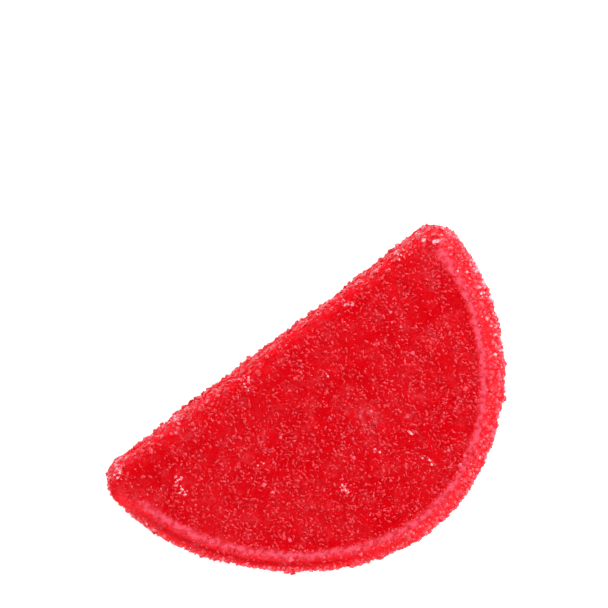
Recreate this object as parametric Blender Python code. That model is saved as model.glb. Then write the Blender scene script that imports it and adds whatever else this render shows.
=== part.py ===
"""A half-moon slice of red jelly candy with a pale band under its rind, lying on its flat face.

The straight side runs along X at +Y, the arc bulges towards -Y, and the thickness is along Z.
The origin is below the middle of the slice, on the surface that it lies on. Lengths are in metres.
"""

import math
import random

import bmesh
import bpy
from mathutils import Euler, Matrix, Vector, noise
from mathutils.geometry import delaunay_2d_cdt

# Driving dimensions of the slice, over its sugar.
LENGTH = 0.0440
DEPTH = 0.0249
THICKNESS = 0.0101
SUGAR_STAND = 0.00030

# The arc is half of a superellipse that leans towards +X, carried out by the corner radius.
CORNER_RADIUS = 0.0021
ARC_FULLNESS = 1.86
ARC_LEAN = 0.086
CORE_HALF_LENGTH = LENGTH / 2 - CORNER_RADIUS
CORE_DEPTH = DEPTH - 2 * CORNER_RADIUS
BODY_RADIUS = CORNER_RADIUS - SUGAR_STAND
BODY_TOP = THICKNESS - SUGAR_STAND

# Rounding of the edges: soft along the straight side, tighter round the arc.
TOP_ROUND_STRAIGHT = 0.0014
TOP_ROUND_ARC = 0.00045
BOTTOM_ROUND = 0.0006
ROUND_STEPS = 2
WALL_STEPS = 6

# The pale band follows the arc and stops short of the straight side. Its ends are shares of the
# way round the arc, and so are the two places between which it comes nearer to the rind.
PITH_INSET_LEFT = 0.00197
PITH_INSET_RIGHT = 0.00248
PITH_SHIFT_START = 0.16
PITH_SHIFT_END = 0.38
PITH_LEFT_END = 0.957
PITH_RIGHT_END = 0.012
PITH_WIDTH = 0.00086
PITH_WIDTH_CHANGE = 0.10
PITH_RISE = 0.00020
PITH_GAP = 0.0003
PITH_STATIONS = 62
PITH_END_ANGLES = (math.radians(72), math.radians(40))
END_STATIONS = 4

# Spacing of the facets, and the relief that the sugar gives them. The underside is level in
# an elliptical patch in its middle, whose half axes REST_PATCH holds.
RING_SPACING = 0.00105
TOP_SPACING = 0.00105
BOTTOM_SPACING = 0.0016
SWELL_HEIGHT = 0.00014
SWELL_LENGTH = 0.0060
GRAIN_HEIGHT = 0.00015
GROOVE_DEPTH = 0.00012
UNDERSIDE_RELIEF = 0.00018
REST_PATCH = (0.0120, 0.0060)

# Sugar crystals that stand out: length, and its width and height as shares of it.
CRYSTAL_COUNT = 262
CRYSTAL_SPACING = 0.0020
CRYSTAL_LENGTH = (0.00068, 0.00112)
CRYSTAL_WIDTH = (0.62, 0.95)
CRYSTAL_HEIGHT = (0.50, 0.68)
CRYSTAL_SUNK = (0.16, 0.32)
CRYSTAL_TILT = 0.35
LOWEST_CRYSTAL = 0.0011

# The few largest crystals on the upper face: x, y from the middle of the straight side, length.
LARGEST_CRYSTALS = (
    (0.0198, -0.0016, 0.00115),
    (0.0163, -0.0006, 0.00105),
    (0.0089, -0.0014, 0.00095),
    (0.0032, -0.0055, 0.00125),
    (-0.0076, -0.0090, 0.00130),
    (-0.0156, -0.0050, 0.00115),
    (-0.0026, -0.0159, 0.00125),
    (0.0021, -0.0149, 0.00090),
    (0.0060, -0.0193, 0.00090),
    (0.0040, -0.0109, 0.00080),
    (-0.0041, -0.0014, 0.00105),
)

RANDOM_SEED = 41
JELLY_RED = (0.62, 0.012, 0.018, 1.0)
PITH_PINK = (0.86, 0.16, 0.20, 1.0)


def clear_scene():
    """Remove every object that the scene starts with."""
    for old in list(bpy.data.objects):
        bpy.data.objects.remove(old, do_unlink=True)


def plain_material(name, colour, roughness, subsurface):
    """A Principled material of one colour with some light passing through."""
    material = bpy.data.materials.new(name)
    material.use_nodes = True
    shader = material.node_tree.nodes["Principled BSDF"]
    shader.inputs["Base Color"].default_value = colour
    shader.inputs["Roughness"].default_value = roughness
    shader.inputs["Metallic"].default_value = 0.0
    shader.inputs["Subsurface Weight"].default_value = subsurface
    shader.inputs["Subsurface Scale"].default_value = 0.002
    material.diffuse_color = colour
    return material


def object_from(name, mesh_builder, material):
    """Turn a finished bmesh into a named object of the scene."""
    mesh = bpy.data.meshes.new(name)
    mesh_builder.to_mesh(mesh)
    mesh_builder.free()
    mesh.materials.append(material)
    made = bpy.data.objects.new(name, mesh)
    bpy.context.scene.collection.objects.link(made)
    return made


# ---- the plan of the slice ----

def core_point(angle):
    """Point of the leaning half superellipse, from the right tip at 0 to the left tip at pi."""
    cosine = math.cos(angle)
    across = math.copysign(abs(cosine) ** (2 / ARC_FULLNESS), cosine)
    depth = CORE_DEPTH * max(0.0, math.sin(angle)) ** (2 / ARC_FULLNESS)
    return Vector((CORE_HALF_LENGTH * across + ARC_LEAN * depth, -CORNER_RADIUS - depth))


def arc_rib(angle):
    """A core point and the unit direction straight out of the arc there."""
    step = 0.002
    ahead = core_point(min(math.pi, angle + step))
    behind = core_point(max(0.0, angle - step))
    along = (ahead - behind).normalized()
    return core_point(angle), Vector((-along.y, along.x))


def fan(centre, first, last, steps):
    """Ribs that turn about one point from the first direction to the last."""
    turn = first.angle_signed(last)
    ribs = []
    for step in range(1, steps):
        ribs.append((centre, Matrix.Rotation(-turn * step / steps, 2) @ first))
    return ribs


def outline_ribs():
    """Evenly spaced ribs round the whole outline: a core point and the way out from it."""
    samples = 400
    straight_out = Vector((0.0, 1.0))
    dense = [arc_rib(math.pi * step / samples) for step in range(samples + 1)]
    right, right_out = dense[0]
    left, left_out = dense[-1]
    dense += fan(left, left_out, straight_out, samples // 8)
    for step in range(samples + 1):
        dense.append((left.lerp(right, step / samples), straight_out))
    dense += fan(right, straight_out, right_out, samples // 8)

    places = [core + out * BODY_RADIUS for core, out in dense]
    travelled = [0.0]
    for number in range(1, len(places) + 1):
        stretch = (places[number % len(places)] - places[number - 1]).length
        travelled.append(travelled[-1] + stretch)
    count = round(travelled[-1] / RING_SPACING)
    ribs = []
    number = 0
    for step in range(count):
        target = travelled[-1] * step / count
        while travelled[number + 1] < target:
            number += 1
        ribs.append(dense[number])
    return ribs


def pith_inset(share):
    """How far the band's middle lies inside the arc, at a share of the way round it."""
    passed = (share - PITH_SHIFT_START) / (PITH_SHIFT_END - PITH_SHIFT_START)
    passed = min(1.0, max(0.0, passed))
    eased = passed * passed * (3 - 2 * passed)
    return PITH_INSET_RIGHT + (PITH_INSET_LEFT - PITH_INSET_RIGHT) * eased


def pith_line():
    """Stations along the pale band: middle point, unit direction out of the arc, half width."""
    stations = []
    for step in range(PITH_STATIONS + 1):
        share = PITH_RIGHT_END + (PITH_LEFT_END - PITH_RIGHT_END) * step / PITH_STATIONS
        core, out = arc_rib(math.pi * share)
        inset = pith_inset(share)
        middle = core + out * (CORNER_RADIUS - inset)
        ripple = noise.noise(Vector((middle.x, middle.y, 0.0)) / SWELL_LENGTH)
        half_width = PITH_WIDTH / 2 * (1 + PITH_WIDTH_CHANGE * ripple)
        stations.append((middle, out, half_width))
    return stations


def band_loop(stations, spare):
    """Closed plan loop round the band, its sides moved out by spare and its ends rounded."""
    outer = [middle + out * (half + spare) for middle, out, half in stations]
    inner = [middle - out * (half + spare) for middle, out, half in stations]
    left_middle, left_out, left_half = stations[-1]
    right_middle, right_out, right_half = stations[0]
    loop = outer
    loop += half_circle(left_middle, left_out * (left_half + spare))
    loop += reversed(inner)
    loop += half_circle(right_middle, -right_out * (right_half + spare))
    return loop


def half_circle(middle, arm):
    """Plan points of a half turn clockwise about a middle, without the first and the last."""
    points = []
    for step in range(1, END_STATIONS):
        points.append(middle + Matrix.Rotation(-math.pi * step / END_STATIONS, 2) @ arm)
    return points


def distance_to_loop(point, loop):
    """Shortest way from a plan point to the corners and middles of a closed loop."""
    shortest = LENGTH
    for number, corner in enumerate(loop):
        following = loop[(number + 1) % len(loop)]
        shortest = min(shortest, (corner - point).length)
        shortest = min(shortest, ((corner + following) / 2 - point).length)
    return shortest


def inside(point, loop):
    """True where the plan point lies inside the closed loop."""
    crossed = False
    for number, corner in enumerate(loop):
        following = loop[(number + 1) % len(loop)]
        if (corner.y > point.y) != (following.y > point.y):
            reach = (point.y - corner.y) / (following.y - corner.y)
            if point.x < corner.x + reach * (following.x - corner.x):
                crossed = not crossed
    return crossed


# ---- the jelly ----

def relief(place, height, chance):
    """How far the surface stands out at a place: slow swells and a rough sugared grain."""
    swell = noise.noise(Vector((place.x, place.y, height)) / SWELL_LENGTH)
    return SWELL_HEIGHT * swell + chance.uniform(-GRAIN_HEIGHT, GRAIN_HEIGHT)


def top_round(out):
    """Rounding of the upper edge where the outline faces this way."""
    straightness = max(0.0, out.y) ** 2
    return TOP_ROUND_ARC + (TOP_ROUND_STRAIGHT - TOP_ROUND_ARC) * straightness


def edge_profile(out):
    """Inset and height of each level of the wall, from the underside to the upper face."""
    upper = top_round(out)
    levels = []
    for step in range(ROUND_STEPS + 1):
        turn = math.pi / 2 * step / ROUND_STEPS
        levels.append((BOTTOM_ROUND * (1 - math.sin(turn)), BOTTOM_ROUND * (1 - math.cos(turn))))
    wall = BODY_TOP - BOTTOM_ROUND - upper
    for step in range(1, WALL_STEPS):
        levels.append((0.0, BOTTOM_ROUND + wall * step / WALL_STEPS))
    for step in range(ROUND_STEPS + 1):
        turn = math.pi / 2 * step / ROUND_STEPS
        levels.append((upper * (1 - math.cos(turn)), BODY_TOP - upper * (1 - math.sin(turn))))
    return levels


def wall_rings(builder, chance):
    """Rings of vertices up the wall of the slice, rough except on the lowest."""
    ribs = outline_ribs()
    rings = []
    for level in range(len(edge_profile(Vector((0.0, 1.0))))):
        ring = []
        for core, out in ribs:
            inset, height = edge_profile(out)[level]
            place = core + out * (BODY_RADIUS - inset)
            push = relief(place, height, chance) if level else 0.0
            slope = math.sin(math.pi / 2 * min(1.0, (BODY_TOP - height) / top_round(out)))
            place = place + out * push * slope
            rise = push * (1 - slope)
            ring.append(builder.verts.new((place.x, place.y, height + rise)))
        rings.append(ring)
    return rings


def close_between(builder, lower, upper):
    """Quads between two rings of the same count."""
    count = len(lower)
    for number in range(count):
        following = (number + 1) % count
        builder.faces.new((lower[number], lower[following], upper[following], upper[number]))


def plan_sheet(builder, ring, slot, spacing, height_at, chance):
    """Triangles over the plan between a ring of vertices and a ring round the slot."""
    outer = [vertex.co.xy for vertex in ring]
    hole = [vertex.co.xy for vertex in slot]
    vertices = list(ring) + list(slot)
    row_gap = spacing * math.sqrt(3) / 2
    rows = int(DEPTH / row_gap) + 2
    columns = int(LENGTH / spacing) + 2
    for row in range(rows):
        for column in range(columns):
            x = -LENGTH / 2 + (column + 0.5 * (row % 2)) * spacing
            y = -row * row_gap
            shift = Vector((chance.uniform(-1, 1), chance.uniform(-1, 1))) * spacing * 0.2
            place = Vector((x, y)) + shift
            if not inside(place, outer) or inside(place, hole):
                continue
            if min(distance_to_loop(place, outer), distance_to_loop(place, hole)) < spacing * 0.55:
                continue
            vertices.append(builder.verts.new((place.x, place.y, height_at(place))))
    places = [vertex.co.xy for vertex in vertices]
    rim = len(outer)
    edges = [(number, (number + 1) % rim) for number in range(rim)]
    edges += [(rim + number, rim + (number + 1) % len(hole)) for number in range(len(hole))]
    _, _, triangles, _, _, _ = delaunay_2d_cdt(places, edges, [], 0, 1e-8)
    for corners in triangles:
        middle = sum((places[corner] for corner in corners), Vector((0.0, 0.0))) / 3
        if inside(middle, outer) and not inside(middle, hole):
            builder.faces.new([vertices[corner] for corner in corners])


def jelly_body(material, chance):
    """The red jelly as one solid, with the slot that the pale band fills."""
    builder = bmesh.new()
    rings = wall_rings(builder, chance)
    for lower, upper in zip(rings, rings[1:]):
        close_between(builder, lower, upper)

    slot_plan = band_loop(pith_line(), PITH_GAP)
    slot_low = [builder.verts.new((point.x, point.y, 0.0)) for point in slot_plan]
    slot_high = []
    for point in slot_plan:
        height = BODY_TOP - GROOVE_DEPTH + relief(point, BODY_TOP, chance) / 2
        slot_high.append(builder.verts.new((point.x, point.y, height)))
    close_between(builder, slot_high, slot_low)

    def upper_face(place):
        return BODY_TOP + relief(place, BODY_TOP, chance)

    def underside(place):
        from_middle = Vector((place.x / REST_PATCH[0], (place.y + DEPTH / 2) / REST_PATCH[1]))
        if from_middle.length < 1:
            return 0.0
        return max(0.0, chance.uniform(-UNDERSIDE_RELIEF, UNDERSIDE_RELIEF))

    plan_sheet(builder, rings[-1], slot_high, TOP_SPACING, upper_face, chance)
    plan_sheet(builder, rings[0], slot_low, BOTTOM_SPACING, underside, chance)
    bmesh.ops.triangulate(builder, faces=builder.faces)
    bmesh.ops.recalc_face_normals(builder, faces=builder.faces)
    return object_from("jelly", builder, material)


# ---- the pale band ----

def pith_section(half_width):
    """Sideways and upward places round one cross-section, with a rounded crown."""
    top = BODY_TOP + PITH_RISE * min(1.0, 2 * half_width / PITH_WIDTH)
    return (
        (-half_width * 0.8, 0.0),
        (half_width * 0.8, 0.0),
        (half_width, half_width * 0.5),
        (half_width, BODY_TOP * 0.5),
        (half_width, BODY_TOP - half_width * 0.6),
        (half_width * 0.75, BODY_TOP),
        (0.0, top),
        (-half_width * 0.75, BODY_TOP),
        (-half_width, BODY_TOP - half_width * 0.6),
        (-half_width, BODY_TOP * 0.5),
        (-half_width, half_width * 0.5),
    )


def round_end(end, neighbour):
    """Stations beyond the band's end, which narrow like a half circle, outermost first."""
    middle, out, half_width = end
    onward = (middle - neighbour[0]).normalized()
    stations = []
    for angle in PITH_END_ANGLES:
        ahead = middle + onward * half_width * math.sin(angle)
        stations.append((ahead, out, half_width * math.cos(angle)))
    return stations


def pith_band(material, chance):
    """The pale band as a bent strip with round ends that runs through the thickness."""
    stations = pith_line()
    right_end = round_end(stations[0], stations[1])
    left_end = round_end(stations[-1], stations[-2])
    builder = bmesh.new()
    sections = []
    for middle, out, half_width in right_end + stations + left_end[::-1]:
        section = []
        for sideways, height in pith_section(half_width):
            place = middle + out * sideways
            if height > BODY_TOP * 0.9:
                height += chance.uniform(-GRAIN_HEIGHT, GRAIN_HEIGHT) / 3
            section.append(builder.verts.new((place.x, place.y, height)))
        sections.append(section)
    for first, second in zip(sections, sections[1:]):
        close_between(builder, first, second)
    builder.faces.new(sections[0])
    builder.faces.new(list(reversed(sections[-1])))
    bmesh.ops.triangulate(builder, faces=builder.faces)
    bmesh.ops.recalc_face_normals(builder, faces=builder.faces)
    return object_from("pith", builder, material)


# ---- the sugar ----

def crystal(number, place, normal, length, chance, material):
    """One boxy crystal, turned at random and partly sunk in the surface."""
    builder = bmesh.new()
    bmesh.ops.create_cube(builder, size=1.0)
    width = length * chance.uniform(*CRYSTAL_WIDTH)
    height = length * chance.uniform(*CRYSTAL_HEIGHT)
    bmesh.ops.scale(builder, vec=(length, width, height), verts=builder.verts)
    lean = [chance.uniform(-CRYSTAL_TILT, CRYSTAL_TILT) for _ in range(2)]
    tilt = Euler((*lean, chance.uniform(0, math.tau)))
    upright = normal.to_track_quat("Z", "Y").to_matrix().to_4x4()
    sunk = place - normal * height * chance.uniform(*CRYSTAL_SUNK)
    bmesh.ops.transform(
        builder,
        matrix=Matrix.Translation(sunk) @ upright @ tilt.to_matrix().to_4x4(),
        verts=builder.verts,
    )
    return object_from(f"crystal_{number}", builder, material)


def crystal_places(body, chance):
    """Places, normals and lengths of the crystals: the largest first, then an even spread."""
    slot = band_loop(pith_line(), PITH_GAP)
    chosen = []
    for x, y, length in LARGEST_CRYSTALS:
        hit, place, normal, _ = body.ray_cast(Vector((x, y, THICKNESS * 2)), Vector((0, 0, -1)))
        if hit:
            chosen.append((place, Vector((0.0, 0.0, 1.0)), length))

    polygons = [face for face in body.data.polygons if face.normal.z > -0.2]
    areas = [face.area for face in polygons]
    tries = CRYSTAL_COUNT * 40
    for face in chance.choices(polygons, weights=areas, k=tries):
        if len(chosen) >= CRYSTAL_COUNT:
            break
        corners = [body.data.vertices[number].co for number in face.vertices]
        first, second = sorted((chance.random(), chance.random()))
        place = corners[0] * first + corners[1] * (second - first) + corners[2] * (1 - second)
        length = chance.uniform(*CRYSTAL_LENGTH)
        if place.z < LOWEST_CRYSTAL:
            continue
        plan = place.xy
        if inside(plan, slot) or distance_to_loop(plan, slot) < length * 0.85:
            continue
        if min((place - other).length for other, _, _ in chosen) < CRYSTAL_SPACING:
            continue
        chosen.append((place, face.normal.copy(), length))
    return chosen


def fuse_crystals(body, material, chance):
    """Join the crystals to the jelly by one union, and remove the loose ones."""
    sugar = bpy.data.collections.new("crystals")
    bpy.context.scene.collection.children.link(sugar)
    for number, (place, normal, length) in enumerate(crystal_places(body, chance)):
        made = crystal(number, place, normal, length, chance, material)
        bpy.context.scene.collection.objects.unlink(made)
        sugar.objects.link(made)

    union = body.modifiers.new("sugar", "BOOLEAN")
    union.operation = "UNION"
    union.operand_type = "COLLECTION"
    union.collection = sugar
    union.solver = "EXACT"
    bpy.context.view_layer.objects.active = body
    bpy.ops.object.modifier_apply(modifier=union.name)
    for made in list(sugar.objects):
        bpy.data.objects.remove(made, do_unlink=True)
    bpy.data.collections.remove(sugar)


def centre_over_origin(pieces):
    """Move the pieces so that the middle of their common box stands over the origin."""
    corners = [vertex.co for piece in pieces for vertex in piece.data.vertices]
    middle_x = (min(corner.x for corner in corners) + max(corner.x for corner in corners)) / 2
    middle_y = (min(corner.y for corner in corners) + max(corner.y for corner in corners)) / 2
    for piece in pieces:
        piece.data.transform(Matrix.Translation((-middle_x, -middle_y, 0.0)))


def main():
    """Build the slice."""
    clear_scene()
    chance = random.Random(RANDOM_SEED)
    red = plain_material("red_jelly", JELLY_RED, 0.35, 0.3)
    pink = plain_material("pale_pith", PITH_PINK, 0.5, 0.3)
    jelly = jelly_body(red, chance)
    pith = pith_band(pink, chance)
    fuse_crystals(jelly, red, chance)
    centre_over_origin((jelly, pith))


if __name__ == "__main__":
    main()
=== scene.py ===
"""A red half-moon jelly candy slice under coarse sugar, on a pale floor in soft studio light."""

import math
from typing import NamedTuple

import bmesh
import bpy
import numpy as np
from mathutils import Matrix, Vector, noise
from mathutils.bvhtree import BVHTree
from mathutils.kdtree import KDTree


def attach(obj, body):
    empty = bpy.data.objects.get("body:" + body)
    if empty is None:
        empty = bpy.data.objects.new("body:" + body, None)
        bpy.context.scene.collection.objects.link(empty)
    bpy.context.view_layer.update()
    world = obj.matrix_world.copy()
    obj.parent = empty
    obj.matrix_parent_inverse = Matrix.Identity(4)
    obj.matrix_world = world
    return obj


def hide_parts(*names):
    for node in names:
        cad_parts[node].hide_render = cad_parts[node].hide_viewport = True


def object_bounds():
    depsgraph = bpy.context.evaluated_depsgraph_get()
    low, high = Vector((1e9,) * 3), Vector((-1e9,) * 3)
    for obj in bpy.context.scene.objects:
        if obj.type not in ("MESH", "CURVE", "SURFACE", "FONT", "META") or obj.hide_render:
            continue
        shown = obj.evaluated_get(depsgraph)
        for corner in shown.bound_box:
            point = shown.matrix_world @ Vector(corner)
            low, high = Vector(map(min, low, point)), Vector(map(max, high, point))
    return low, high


bl_info = {
    "name": "Jelly Candy Slice",
    "version": (1, 0, 0),
    "blender": (4, 5, 0),
    "location": "View3D > Sidebar > Candy",
    "description": "Dresses a half-moon jelly candy slice with its flesh, pale band and sugar",
    "category": "Add Mesh",
}

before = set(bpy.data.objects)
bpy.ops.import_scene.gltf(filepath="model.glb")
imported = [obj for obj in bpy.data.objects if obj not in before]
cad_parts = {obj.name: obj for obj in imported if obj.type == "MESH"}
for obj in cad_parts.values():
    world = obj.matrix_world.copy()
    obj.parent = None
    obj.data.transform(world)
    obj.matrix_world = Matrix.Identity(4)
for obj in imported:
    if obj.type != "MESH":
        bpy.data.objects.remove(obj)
CAD_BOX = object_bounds()


# ---- sizes and colours that a user would change ----

def length_setting(name, description, default):
    """A length in metres for the sidebar."""
    return bpy.props.FloatProperty(name=name, description=description, default=default,
                                   unit="LENGTH", precision=5)


def colour_setting(name, description, default):
    """A colour for the sidebar."""
    return bpy.props.FloatVectorProperty(name=name, description=description, default=default,
                                         subtype="COLOR", size=4)


class JellySettings(bpy.types.PropertyGroup):
    """Form and colours of the red jelly."""

    voxel: length_setting("Voxel", "Mesh size of the jelly's surface", default=0.00022)
    melt_rounds: bpy.props.IntProperty(
        name="Melting", description="Rounds of smoothing that melt the facets and the crystals",
        default=24)
    rest_height: length_setting(
        "Rest Height", "How far sugar grains hold the underside off the table", default=0.00018)
    dimple_size: length_setting(
        "Dimple Size", "Width of the small hollows between grains", default=0.00050)
    dimple_depth: length_setting(
        "Dimple Depth", "Depth of the small hollows between grains", default=0.00011)
    groove_depth: length_setting(
        "Groove Depth", "Depth of the groove between the pale band and the rind", default=0.00008)
    relief_size: length_setting(
        "Relief Size", "Spacing of the fine bumps of dissolved sugar", default=0.00038)
    relief_height: length_setting(
        "Relief Height", "Height of the fine bumps of dissolved sugar", default=0.00022)
    relief_way: bpy.props.FloatProperty(
        name="Relief Way", description="Heading of the fine bumps, from the straight side's line",
        default=math.radians(-82.0), subtype="ANGLE")
    colour: colour_setting("Colour", "Red of the jelly", default=(0.640, 0.0048, 0.0100, 1.0))
    deep_colour: colour_setting(
        "Deep Colour", "Red of the denser patches", default=(0.610, 0.0012, 0.0050, 1.0))
    # Painted sheen: this paler red stands for fine sugar and for the skin's soft sheen, whose own
    # reflection is off.
    bloom_and_sheen_colour: colour_setting(
        "Bloom Colour", "Paler red where fine sugar dulls the skin",
        default=(0.66, 0.046, 0.068, 1.0))
    # Painted glow: the rind's brighter red stands in for light shining through its thin outer edge.
    rind_colour: colour_setting(
        "Rind Colour", "Brighter red of the rind beyond the band",
        default=(0.97, 0.0210, 0.0310, 1.0))
    # Painted shade: a darker red for the groove beside the band, where the groove lies in shade.
    groove_shade_colour: colour_setting(
        "Groove Colour", "Dense red in the groove beside the band",
        default=(0.58, 0.0035, 0.0085, 1.0))


class PithSettings(bpy.types.PropertyGroup):
    """Form and colour of the pale band."""

    voxel: length_setting("Voxel", "Mesh size of the band's surface", default=0.00016)
    overlap: length_setting(
        "Overlap", "How far the band reaches into the jelly on both sides", default=0.00035)
    sink: length_setting(
        "Sink", "How far the band's crown is lowered after it has been widened", default=0.00050)
    fade_start: length_setting(
        "Fade Start", "Depth inside the band's side where its pink starts to fade", default=0.00040)
    fade_end: length_setting(
        "Fade End", "Distance outside the band's side where its pink has faded", default=0.00020)
    colour: colour_setting("Colour", "Pink of the band", default=(0.80, 0.098, 0.152, 1.0))


class SugarSettings(bpy.types.PropertyGroup):
    """Number, colours and lie of the sugar grains."""

    density: bpy.props.FloatProperty(
        name="Density", description="Share of the full number of scattered grains",
        default=1.0)
    wet_colour: colour_setting(
        "Wet Colour", "Red of the small grains soaked with syrup",
        default=(0.69, 0.0040, 0.0102, 1.0))
    glint_colour: colour_setting(
        "Glint Colour", "Pinkish red of the palest small grains in the flesh",
        default=(0.76, 0.078, 0.103, 1.0))
    rind_colour: colour_setting(
        "Rind Colour", "Bright red of the darker grains on the rind",
        default=(1.0, 0.0180, 0.0300, 1.0))
    pink_colour: colour_setting(
        "Pink Colour", "Pink of the drier grains on the rind and the walls",
        default=(0.94, 0.074, 0.110, 1.0))
    clear_colour: colour_setting(
        "Clear Colour", "Pale pink of the clearer grains that stand out from the rind",
        default=(0.94, 0.138, 0.188, 1.0))
    frost_colour: colour_setting(
        "Frost Colour", "Colour of the dry whitish crystals", default=(1.0, 0.60, 0.65, 1.0))
    stroke_way: bpy.props.FloatProperty(
        name="Stroke Way", description="Heading of most long grains, from the straight side's line",
        default=math.radians(-82.0), subtype="ANGLE")
    seed: bpy.props.IntProperty(name="Seed", description="Seed of all random draws", default=7)


class StageSettings(bpy.types.PropertyGroup):
    """Camera, light and floor."""

    view_width: bpy.props.FloatProperty(
        name="View Width", description="Width of the picture at the slice's upper face",
        default=0.0610, unit="LENGTH", precision=4)
    lens: bpy.props.FloatProperty(
        name="Lens", description="Focal length in millimetres", default=180.0)
    camera_tilt: bpy.props.FloatProperty(
        name="Camera Tilt", description="How far the camera leans towards the straight side",
        default=math.radians(5.0), subtype="ANGLE")
    picture_turn: bpy.props.FloatProperty(
        name="Picture Turn", description="Angle of the straight side above the picture's level",
        default=math.radians(37.3), subtype="ANGLE")
    tent_light: bpy.props.FloatProperty(
        name="Tent Light", description="Brightness of the white tent round the slice", default=1.00)
    tent_top_light: bpy.props.FloatProperty(
        name="Tent Top Light", description="Brightness of the tent's top, where the camera looks in",
        default=0.12)
    key_light: bpy.props.FloatProperty(
        name="Key Light", description="Brightness of the softbox at the picture's upper right",
        default=6.0)
    fill_light: bpy.props.FloatProperty(
        name="Fill Light", description="Brightness of the softbox at the picture's lower left",
        default=0.8)
    floor_glow: bpy.props.FloatProperty(
        name="Floor Glow", description="Light that the white floor gives off itself", default=0.5)


# ---- shared tools ----

def select_only(piece):
    """Make one object the only selected one and the active one."""
    bpy.ops.object.select_all(action="DESELECT")
    piece.select_set(True)
    bpy.context.view_layer.objects.active = piece


def apply_modifier(piece, kind, **settings):
    """Add a modifier with these settings and apply it."""
    select_only(piece)
    modifier = piece.modifiers.new(kind.lower(), kind)
    for name, value in settings.items():
        setattr(modifier, name, value)
    bpy.ops.object.modifier_apply(modifier=modifier.name)


def merged_copy(node, name):
    """A copy of a CAD node as a new object, with its loose triangles merged."""
    piece = bpy.data.objects.new(name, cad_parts[node].data.copy())
    bpy.context.scene.collection.objects.link(piece)
    piece.data.materials.clear()
    select_only(piece)
    bpy.ops.object.mode_set(mode="EDIT")
    bpy.ops.mesh.select_all(action="SELECT")
    bpy.ops.mesh.remove_doubles(threshold=0.000002)
    bpy.ops.object.mode_set(mode="OBJECT")
    return piece


def widen(piece, width):
    """Move the whole surface of a piece outward by a width."""
    select_only(piece)
    bpy.ops.object.mode_set(mode="EDIT")
    bpy.ops.mesh.select_all(action="SELECT")
    bpy.ops.transform.shrink_fatten(value=width)
    bpy.ops.object.mode_set(mode="OBJECT")


def vertex_places(piece):
    """The piece's vertices as an array of rows of x, y, z."""
    places = np.empty(len(piece.data.vertices) * 3)
    piece.data.vertices.foreach_get("co", places)
    return places.reshape(-1, 3)


def move_vertices(piece, places):
    """Put the piece's vertices at the rows of an array."""
    piece.data.vertices.foreach_set("co", places.ravel())
    piece.data.update()


def noise_texture(name, kind, size, **settings):
    """A texture for a Displace modifier, in object coordinates."""
    texture = bpy.data.textures.new(name, kind)
    texture.noise_scale = size
    for key, value in settings.items():
        setattr(texture, key, value)
    return texture


def finish_piece(piece, material):
    """Give a piece its material, and let it ride on the slice."""
    piece.data.materials.clear()
    piece.data.materials.append(material)
    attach(piece, "root")


# ---- materials ----

def new_material(name):
    """A new material, its nodes, its links and its shader."""
    material = bpy.data.materials.new(name)
    material.use_nodes = True
    nodes = material.node_tree.nodes
    return material, nodes, material.node_tree.links, nodes["Principled BSDF"]


def object_noise(nodes, links, scale, detail):
    """A noise node that reads object coordinates."""
    place = nodes.new("ShaderNodeTexCoord")
    grain = nodes.new("ShaderNodeTexNoise")
    grain.inputs["Scale"].default_value = scale
    grain.inputs["Detail"].default_value = detail
    links.new(place.outputs["Object"], grain.inputs["Vector"])
    return grain


def remapped(nodes, links, value, low, high, at_low, at_high):
    """A value mapped smoothly from one range to another."""
    mapped = nodes.new("ShaderNodeMapRange")
    mapped.interpolation_type = "SMOOTHSTEP"
    mapped.inputs["From Min"].default_value = low
    mapped.inputs["From Max"].default_value = high
    mapped.inputs["To Min"].default_value = at_low
    mapped.inputs["To Max"].default_value = at_high
    links.new(value, mapped.inputs["Value"])
    return mapped.outputs["Result"]


def combined(nodes, links, operation, first, second):
    """The clamped sum or product of two values."""
    step = nodes.new("ShaderNodeMath")
    step.operation = operation
    step.use_clamp = True
    links.new(first, step.inputs[0])
    links.new(second, step.inputs[1])
    return step.outputs["Value"]


def mixed(nodes, links, factor, first, second):
    """A linked colour mixed with a constant one by a factor."""
    blend = nodes.new("ShaderNodeMix")
    blend.data_type = "RGBA"
    blend.inputs[7].default_value = second
    links.new(factor, blend.inputs[0])
    links.new(first, blend.inputs[6])
    return blend.outputs[2]


def attribute(nodes, name):
    """The value of an attribute that is stored on the vertices."""
    layer = nodes.new("ShaderNodeAttribute")
    layer.attribute_name = name
    return layer.outputs["Fac"]


# How far the ragged edge of the band's pink wanders.
RAGGED_REACH = 0.00090


def band_blend(nodes, links, flesh, band_settings):
    """The jelly's red fading to the band's pink by the distance from the band's side."""
    ragged = object_noise(nodes, links, scale=1500.0, detail=3.0)
    shift = nodes.new("ShaderNodeMath")
    shift.operation = "MULTIPLY_ADD"
    shift.inputs[1].default_value = RAGGED_REACH
    links.new(ragged.outputs["Fac"], shift.inputs[0])
    links.new(attribute(nodes, "band_distance"), shift.inputs[2])
    side = RAGGED_REACH / 2
    fade = remapped(nodes, links, shift.outputs["Value"], low=side - band_settings.fade_start,
                    high=side + band_settings.fade_end, at_low=1.0, at_high=0.0)
    mottles = object_noise(nodes, links, scale=1900.0, detail=3.0)
    mottling = remapped(nodes, links, mottles.outputs["Fac"],
                        low=0.34, high=0.62, at_low=0.35, at_high=1.25)
    return mixed(nodes, links, combined(nodes, links, "MULTIPLY", fade, mottling), flesh,
                 band_settings.colour)


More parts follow.
